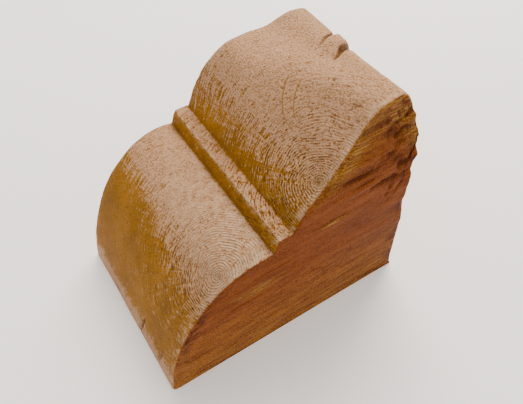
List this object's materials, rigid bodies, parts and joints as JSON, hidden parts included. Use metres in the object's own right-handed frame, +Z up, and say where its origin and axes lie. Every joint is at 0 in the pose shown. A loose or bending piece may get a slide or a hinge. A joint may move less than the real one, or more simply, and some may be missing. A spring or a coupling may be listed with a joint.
{
  "type": "beam bracket",
  "caption": "Block bracket with a carved double-bulge front, a small step between the bulges and two flat fixing faces at a right angle.",
  "frame": {"origin": "middle of the long flat face, which the bracket lies on", "axes": "+X across the bracket, +Y from the carved front towards the short flat face, +Z up from the long flat face"},
  "size_m": [0.142, 0.2, 0.1836],
  "materials": {
    "aged_wood": "matte wood-look casting, honey brown stain rubbed paler on the worn edges, darker in the grain"
  },
  "bodies": {
    "root": {"bracket": "aged_wood"}
  },
  "joints": []
}
